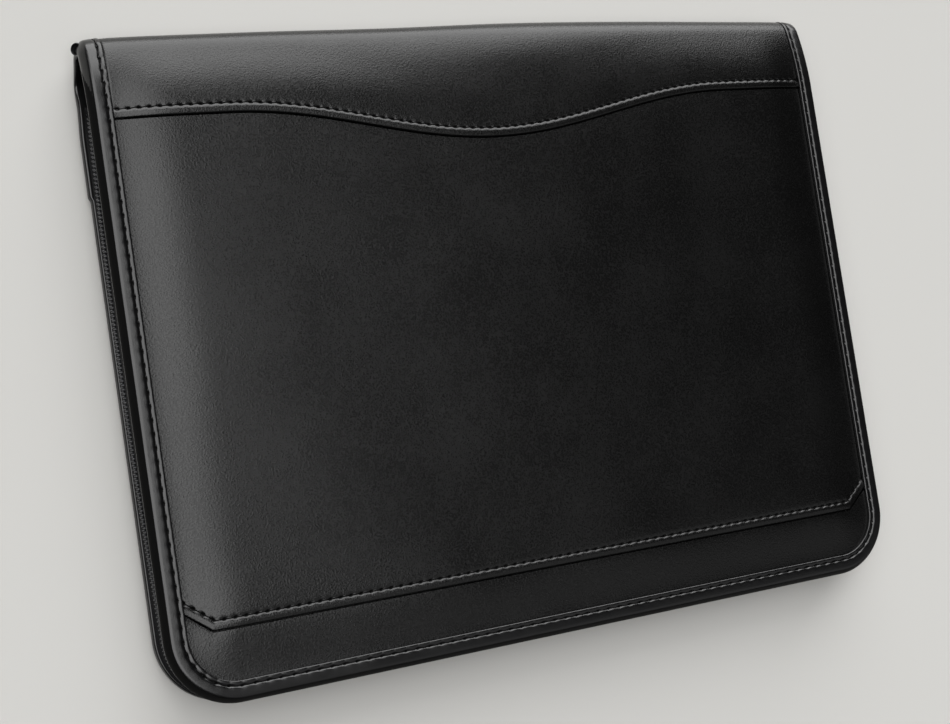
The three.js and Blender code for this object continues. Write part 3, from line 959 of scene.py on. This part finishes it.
# Binding section as inset from the folder's edge, depth and whether the leather has no finish there: from the
# inner leg over its corner and up the outer side, over the face and the stitch groove to the lip
BINDING_OUTLINE = np.array(
    [
        (BINDING_FACE, BINDING_THICKNESS, 1),
        (2.4, 6.45, 1),
        (1.3, 6.42, 1),
        (0.85, 6.32, 0),
        (0.45, 6.0, 0),
        (0.22, 5.5, 0),
        (0.12, 4.7, 1),
        (0.2, 3.7, 1),
        (0.6, 2.7, 1),
        (1.3, 1.6, 1),
        (2.1, 0.6, 1),
        (2.45, 0.33, 0),
        (2.9, 0.14, 0),
        (3.5, 0.06, 0),
        (5.5, 0.02, 0),
        (6.1, 0.05, 0),
        (6.4, 0.13, 0),
        (6.65, 0.23, 0),
        (BINDING_GROOVE, GROOVE_FLOOR, 0),
        (7.2, 0.21, 0),
        (7.5, 0.11, 0),
        (8.2, 0.05, 0),
        (8.8, 0.2, 0),
        (8.97, 0.55, 0),
        (BINDING_FACE, 1.35, 0),
    ]
)
BINDING_CHANNEL = np.array([(2.0, 1.35, 1), (2.0, 5.2, 1), (BINDING_FACE, 5.2, 1)])

# Binding's face, down to the depth where it ends: needle holes, dips in the lip beside them and slow lumps
BINDING_HOLE = 1.0
BINDING_HOLE_RAW = 0.3
FACE_END = 1.3
FACE_FADE = 0.5
LIP_INSET = 8.2
LIP_WIDTH = 0.8
LIP_DIP = 0.1
LUMP_INSET = 4.4
LUMP_WIDTH = 2.5
LUMP_HEIGHT = 0.08
FINISH_SLANT = 3.5

# Where the binding is squeezed beside the spine, and where it steps out over the yoke's hem on the back
PINCH = 0.6
PINCH_Y = 120
PINCH_WIDTH = 8
STEP_OUT = 0.8
STEP_RUN = 2
STEP_REACH = 5
STEP_END_Y = 112
STEP_FADE = 20


def binding_wear(turns):
    """Slow lumps along the binding's loop, from -1 to 1: waves that fit the loop a whole number of times."""
    waves = [(29, 0.3, 0.5), (47, 1.7, 0.3), (83, 4.1, 0.2)]
    return sum(share * np.sin(2 * math.pi * count * turns + phase) for count, phase, share in waves)


def binding_place(along, inset, depth):
    """Points of the binding at a length along its stitch line, an inset and a depth.

    On the back the binding is squeezed thin beside the spine, and it stands out a little where it goes over
    the yoke's folded hem.
    """
    x, s, out_x, out_s = walk(binding_path(), along)
    on_back = smoothstep((s - SPINE_END) / (BACK_FLAT - SPINE_END))
    y = SHEET_LENGTH - HALF_HEIGHT - s
    squeeze = 1 - PINCH * on_back * bell(y - PINCH_Y, PINCH_WIDTH)
    bulge = smoothstep((y - APRON_EDGE_Y) / STEP_RUN + 0.5) * smoothstep((STEP_END_Y - y) / STEP_FADE)
    bulge = STEP_OUT * on_back * bulge * np.abs(out_x)
    shift = BINDING_GROOVE - inset + bulge * np.clip(1 - inset / STEP_REACH, 0, 1)
    return x + shift * out_x, s + shift * out_s, depth * squeeze


def binding_stitch_count(sizes):
    """Whole number of stitches round the binding's loop, and their length."""
    total = path_length(binding_path())
    count = round(total / (sizes.binding_stitch / MM))
    return count, total / count


class FOLDER_OT_edge_binding(bpy.types.Operator):
    """Build the leather channel that is folded over the whole edge of the cover"""

    bl_idname = "folder.edge_binding"
    bl_label = "Edge Binding"

    def execute(self, context):
        count, pitch = binding_stitch_count(context.scene.folder_sizes)
        along = (pitch * (np.arange(count)[:, None] + crowded(6))).reshape(-1, 1)
        section = np.concatenate([smooth_through(BINDING_OUTLINE, 2), BINDING_CHANNEL])
        inset, depth, bare = section.T[:, None]
        face = np.clip((FACE_END - depth) / FACE_FADE, 0, 1)
        pulled = BINDING_HOLE * needle_holes(along, pitch, inset - BINDING_GROOVE)
        pulled = pulled + LIP_DIP * needle_holes(along, pitch, 0) * bell(inset - LIP_INSET, LIP_WIDTH)
        lumps = LUMP_HEIGHT * (1 + binding_wear(along / (pitch * count)))
        depth = depth + face * (pulled + lumps * bell(inset - LUMP_INSET, LUMP_WIDTH))
        x, s, depth = binding_place(along, inset, depth)
        shape = fold(x, s, depth), loft(*depth.shape, closed=True)
        leather = finish(context, smooth_leather)
        binding = add_piece(context, "sewn_binding", shape, leather, ["edge_binding"])
        finished = (SPINE_END - SPINE_START) / 2 + FINISH_SLANT * (BINDING_THICKNESS - depth)
        rubbed = (bare > 0.5) & (np.abs(s - SPINE_MIDDLE) > finished)
        leave_bare(context, binding, rubbed | (pulled * face > BINDING_HOLE_RAW))
        return {"FINISHED"}


# Stitches: half their length as a share of the pitch, and shares of their thickness
STITCH_HALF = 0.37
STITCH_DIVE = 0.9
STITCH_TAPER = 0.3
PLY_RELIEF = 0.1
PLY_TWIST = 4


def stitch_steps(count, pitch):
    """Lengths along a seam at each stitch's seven rings, and the rings' places from -1 to 1."""
    u = np.linspace(-1, 1, 7)
    return pitch * (np.arange(count)[:, None] + 0.5 + STITCH_HALF * u), u


def stitch_shape(centre, normal, u, diameter):
    """Stitches along lines of points: two twisted plies that dive into the needle holes at both ends."""
    centre = centre - (STITCH_DIVE * diameter * u**6)[:, None] * normal
    v = np.linspace(0, 2 * math.pi, 8, endpoint=False)
    plies = 1 + PLY_RELIEF * np.cos(2 * (v + PLY_TWIST * u[:, None]))
    radius = diameter / 2 * (1 - STITCH_TAPER * u[:, None] ** 4) * plies
    return tube(centre, normal, np.broadcast_to(radius, (len(centre), *radius.shape)))


def seam_stitches(row, pitch, sizes):
    """Stitches along a hem on the front: their middles lie 0.3 of their thickness below its groove."""
    diameter = sizes.thread / MM
    x = columns(0.5)
    length_at = seam_length(x, row)
    along, u = stitch_steps(int(length_at[-1] / pitch), pitch)
    stitch_x = np.interp(along, length_at, x)
    s = row(stitch_x, SEAM_INSET)
    depth = hemmed_surface(stitch_x, s, SEAM_INSET, sizes.padding_ripple / MM) + 0.3 * diameter
    shown = np.abs(stitch_x).max(axis=1) < LIP_X
    return stitch_shape(fold(stitch_x, s, depth)[shown], fold_normal(s)[shown], u, diameter)


def apron_stitches(pitch, sizes):
    """Stitches along the yoke's straight hem on the back."""
    diameter = sizes.thread / MM
    along, u = stitch_steps(2 * int(LIP_X / pitch), pitch)
    x = along - along.mean()
    s = np.full_like(x, back_s(APRON_EDGE_Y) - SEAM_INSET)
    depth = pillow(x, s, APRON_LEVEL) + APRON_SHARE * hem_depth(SEAM_INSET)
    return stitch_shape(fold(x, s, depth), fold_normal(s), u, diameter)


def binding_stitches(sizes):
    """Stitches along the binding's groove, round its whole loop."""
    diameter = sizes.thread / MM
    count, pitch = binding_stitch_count(sizes)
    along, u = stitch_steps(count, pitch)
    x, s, depth = binding_place(along, BINDING_GROOVE, GROOVE_FLOOR + 0.4 * diameter)
    return stitch_shape(fold(x, s, depth), fold_normal(s), u, diameter)


class FOLDER_OT_stitches(bpy.types.Operator):
    """Sew the stitches along the wave, the lower seam, the back hem and the bindings"""

    bl_idname = "folder.stitches"
    bl_label = "Stitches"

    def execute(self, context):
        sizes = context.scene.folder_sizes
        wave_pitch, lower_pitch = sizes.wave_stitch / MM, sizes.lower_stitch / MM
        seams = {
            "wave_stitches": seam_stitches(wave_row, wave_pitch, sizes),
            "lower_stitches": seam_stitches(lower_row, lower_pitch, sizes),
            "apron_stitches": apron_stitches(lower_pitch, sizes),
            "binding_stitches": binding_stitches(sizes),
        }
        for name, shape in seams.items():
            add_piece(context, name, shape, finish(context, polyester_thread))
        return {"FINISHED"}


# Zip tape section: how far a point goes along with the chain's inset, its own inset, and its rise from the
# chain's middle, as a share of the way to the binding. Up the outside, in under the binding and back.
TAPE_OUTLINE = np.array(
    [
        (1.0, 0.9, 0.27),
        (1.0, 0.2, 0.3),
        (1.0, 0.1, 0.42),
        (0.5, 0.7, 0.75),
        (0.0, 1.0, 0.94),
        (0.0, 1.7, 1.0),
        (0.0, 9.0, 1.0),
        (0.0, 9.0, 0.88),
        (0.0, 3.2, 0.87),
        (0.5, 1.6, 0.65),
        (1.0, 0.8, 0.42),
    ]
)
TAPE_GAP = 0.6
TAPE_STEP = 1.5
TAPE_END_SHARE = 0.1


def chain_inset(y):
    """Inset of the chain's middle, which sags out halfway along the sides: a parabola in y."""
    reach = np.clip(y, -ZIP_TOP_Y, ZIP_TOP_Y) / ZIP_TOP_Y
    return CHAIN_INSET + CHAIN_SAG * reach**2


class FOLDER_OT_zip_tapes(bpy.types.Operator):
    """Weave the two zip tapes, which close up towards the zip's ends"""

    bl_idname = "folder.zip_tapes"
    bl_label = "Zip Tapes"

    def execute(self, context):
        path = zip_path()
        total = path_length(path)
        along = np.linspace(0, total, round(total / TAPE_STEP))
        x, y, out_x, out_y = (column[:, None] for column in walk(path, along))
        from_end = np.minimum(along, total - along)
        open_share = np.clip(from_end / ZIP_TAPER, 0, 1)[:, None]
        open_share = TAPE_END_SHARE + (1 - TAPE_END_SHARE) * open_share
        binding_rise = MID_HEIGHT - BINDING_THICKNESS - TAPE_GAP
        tape = finish(context, herringbone_tape)
        for name, side in (("front", 1), ("back", -1)):
            follow, own, rise = TAPE_OUTLINE[::side].T[:, None]
            inset = own + follow * chain_inset(y)
            reach = side * binding_rise + MID_HEIGHT - ZIP_HEIGHT
            z = ZIP_HEIGHT + reach * rise * open_share
            points = to_points(x - inset * out_x, y - inset * out_y, z)
            middle = points[len(x) // 2]
            girth = np.linalg.norm(np.diff(middle, axis=0, append=middle[:1]), axis=1)
            around = np.concatenate([[0], np.cumsum(girth)])
            uv = loft_uv(along * MM, around * MM, points.shape[1])
            shape = points, loft(*points.shape[:2])
            add_piece(context, f"woven_tape_{name}", shape, tape, [f"zip_tape_{name}"], uv)
        return {"FINISHED"}


TOOTH_HALF = (0.45, 0.85, 0.95)
TOOTH_RISE = 0.85


class FOLDER_OT_zip_teeth(bpy.types.Operator):
    """Set the two rows of teeth, which interlock along the middle of the zip"""

    bl_idname = "folder.zip_teeth"
    bl_label = "Zip Teeth"

    def execute(self, context):
        path = zip_path()
        pitch = context.scene.folder_sizes.tooth_pitch / MM
        count = int(path_length(path) / pitch) - 1
        up = np.linspace(-1, 1, 6) * math.radians(72)
        v = np.linspace(0, 2 * math.pi, 6, endpoint=False)
        half_along, half_out, half_up = TOOTH_HALF
        girth = np.cos(up[:, None]) ** 0.5
        rows = []
        for side in (-1, 1):
            along = pitch * (np.arange(count) + 0.75 + 0.25 * side)
            x, y, out_x, out_y = (column[:, None, None] for column in walk(path, along))
            ahead = half_along * girth * np.cos(v)
            out = half_out * girth * np.sin(v) - chain_inset(y)
            z = ZIP_HEIGHT + side * TOOTH_RISE + half_up * np.sin(up[:, None])
            points = to_points(x + out * out_x - ahead * out_y, y + out * out_y + ahead * out_x, z)
            rows.append((points, repeat(loft(len(up), len(v)), count, len(up) * len(v))))
        nylon = finish(context, nylon_coil)
        add_piece(context, "coil_teeth", join(*rows), nylon, ["zip_chain"])
        return {"FINISHED"}


# Slider: half sizes in x, y and z, its place inside the edge and above the zip, its bridge and its pull
SLIDER_HALF = (2.1, 4.0, 4.0)
SLIDER_INSET = 2.9
SLIDER_ABOVE = 4.3
SLIDER_WAIST = 0.22
BRIDGE_HALF = 2.6
BRIDGE_RISE = 1.5
BRIDGE_SINK = 0.4
BRIDGE_RADIUS = 0.6
PULL_ABOVE = 1
PULL_LONG = 28
PULL_HALF = 3
PULL_HOLE = 1.4
PULL_WALL = 1.2


def pull_shape(outer_x, top_y):
    """A flat pull with a hole near its round end: a rounded section carried round the hole.

    The section reaches from the hole to the pull's outline, a slot of parallel sides and a round end.
    """
    turn = np.linspace(-math.pi / 2, math.pi / 2, 24)
    end = np.stack([-PULL_HALF * np.cos(turn), PULL_HALF * np.sin(turn)], axis=1)
    straight = np.linspace(0, PULL_LONG - PULL_HALF, 14)[1:]
    up_side = np.stack([straight, np.full_like(straight, PULL_HALF)], axis=1)
    top = np.stack([np.full(5, straight[-1]), np.linspace(PULL_HALF, -PULL_HALF, 7)[1:-1]], axis=1)
    outline = np.concatenate([end, up_side, top, up_side[::-1] * [1, -1]])
    hole = PULL_HOLE * unit(outline)
    angle = np.linspace(0, 2 * math.pi, 16, endpoint=False)
    share = 0.5 + 0.5 * np.sign(np.cos(angle)) * np.abs(np.cos(angle)) ** 0.3
    lift = PULL_WALL / 2 * np.sign(np.sin(angle)) * np.abs(np.sin(angle)) ** 0.6
    flat = hole[:, None] + (outline - hole)[:, None] * share[:, None]
    hole_y = top_y - PULL_LONG + PULL_HALF
    points = to_points(outer_x + lift, hole_y + flat[..., 0], MID_HEIGHT + flat[..., 1])
    return points, loft(len(outline), len(angle), closed=True)


class FOLDER_OT_zip_slider(bpy.types.Operator):
    """Cast the zip's slider with its bridge and pull, at the closed end of the zip"""

    bl_idname = "folder.zip_slider"
    bl_label = "Zip Slider"

    def execute(self, context):
        half_deep, half_long, half_wide = SLIDER_HALF
        centre = np.array([HALF_WIDTH - SLIDER_INSET, ZIP_TOP_Y + SLIDER_ABOVE, MID_HEIGHT])
        w = np.linspace(-1, 1, 16) * math.radians(80)
        v = np.linspace(0, 2 * math.pi, 32, endpoint=False)
        girth = np.cos(w)[:, None] ** 0.35
        waist = 1 - SLIDER_WAIST * smoothstep(0.5 - 0.5 * np.sin(w))[:, None]
        round_x = np.sign(np.cos(v)) * np.abs(np.cos(v)) ** 0.5
        round_z = np.sign(np.sin(v)) * np.abs(np.sin(v)) ** 0.5
        body = centre + to_points(
            half_deep * girth * round_x,
            half_long * np.sin(w)[:, None],
            half_wide * girth * waist * round_z,
        )
        arch = np.linspace(0, math.pi, 14)
        face_x = centre[0] + half_deep
        bridge_x = face_x - BRIDGE_SINK + BRIDGE_RISE * np.sin(arch)
        bridge = to_points(bridge_x, centre[1] - BRIDGE_HALF * np.cos(arch), centre[2])
        upright = np.broadcast_to([0.0, 0.0, 1.0], bridge.shape)
        bridge = tube(bridge[None], upright[None], np.full((1, len(arch), 10), BRIDGE_RADIUS))
        pull = pull_shape(face_x + PULL_WALL / 2, centre[1] + PULL_ABOVE)
        shape = join((body, loft(len(w), len(v))), bridge, pull)
        metal = finish(context, gunmetal_plate)
        add_piece(context, "cast_slider", shape, metal, ["zip_slider"])
        return {"FINISHED"}


# Spine end: the binding's rolled end as radius, distance inside its face and whether the leather has no
# finish there, from the middle of its dished face over its rim to its hidden end
ROLL_OUTLINE = np.array(
    [
        (0.1, 0.9, 1),
        (1.5, 0.8, 1),
        (2.0, 0.4, 1),
        (2.25, 0.05, 0),
        (2.45, 0.15, 0),
        (2.55, 0.8, 0),
        (2.4, 3.2, 0),
        (0.1, 3.4, 0),
    ]
)
ROLL_X = HALF_WIDTH - 0.3
ROLL_Y = 128.2
ROLL_Z = 13.4
ROLL_TILT = math.radians(42)


class FOLDER_OT_spine_ends(bpy.types.Operator):
    """Roll up the binding's ends at both ends of the spine"""

    bl_idname = "folder.spine_ends"
    bl_label = "Spine Ends"

    def execute(self, context):
        section = smooth_through(ROLL_OUTLINE, 4)
        radius, inside, bare = section.T[:, :, None]
        v = np.linspace(0, 2 * math.pi, 36, endpoint=False)
        for name, side in (("spine_end_left", -1), ("spine_end_right", 1)):
            across, up = radius * np.cos(side * v), radius * np.sin(side * v)
            x = ROLL_X - inside * math.cos(ROLL_TILT) - up * math.sin(ROLL_TILT)
            z = ROLL_Z - inside * math.sin(ROLL_TILT) + up * math.cos(ROLL_TILT)
            points = to_points(side * x, ROLL_Y + across, z)
            shape = points, loft(*points.shape[:2])
            roll = add_piece(context, name, shape, finish(context, smooth_leather))
            leave_bare(context, roll, np.repeat(bare[:-1] > 0.5, len(v), axis=1))
        return {"FINISHED"}


OPERATORS = (
    FOLDER_OT_stage,
    FOLDER_OT_front_panel,
    FOLDER_OT_lower_band,
    FOLDER_OT_spine_yoke,
    FOLDER_OT_back_panel,
    FOLDER_OT_edge_binding,
    FOLDER_OT_stitches,
    FOLDER_OT_zip_tapes,
    FOLDER_OT_zip_teeth,
    FOLDER_OT_zip_slider,
    FOLDER_OT_spine_ends,
)
GROUPS = {"folder_sizes": FolderSizes, "folder_colours": FolderColours, "folder_stage": FolderStage}


class FOLDER_PT_pieces(bpy.types.Panel):
    """Lists the folder's pieces, sizes, colours and light"""

    bl_idname = "FOLDER_PT_pieces"
    bl_label = "Conference Folder"
    bl_space_type = "VIEW_3D"
    bl_region_type = "UI"
    bl_category = "Folder"

    def draw(self, context):
        for operator in OPERATORS:
            self.layout.operator(operator.bl_idname)
        for group, kind in GROUPS.items():
            for name in kind.__annotations__:
                self.layout.prop(getattr(context.scene, group), name)


def register():
    for kind in (*GROUPS.values(), *OPERATORS, FOLDER_PT_pieces):
        bpy.utils.register_class(kind)
    for group, kind in GROUPS.items():
        setattr(bpy.types.Scene, group, bpy.props.PointerProperty(type=kind))


def unregister():
    for group in GROUPS:
        delattr(bpy.types.Scene, group)
    for kind in (FOLDER_PT_pieces, *reversed(OPERATORS), *GROUPS.values()):
        bpy.utils.unregister_class(kind)


def main():
    """Builds the folder piece by piece."""
    register()
    bpy.ops.folder.stage()
    bpy.ops.folder.front_panel()
    bpy.ops.folder.lower_band()
    bpy.ops.folder.spine_yoke()
    bpy.ops.folder.back_panel()
    bpy.ops.folder.edge_binding()
    bpy.ops.folder.stitches()
    bpy.ops.folder.zip_tapes()
    bpy.ops.folder.zip_teeth()
    bpy.ops.folder.zip_slider()
    bpy.ops.folder.spine_ends()


if __name__ == "__main__":
    main()
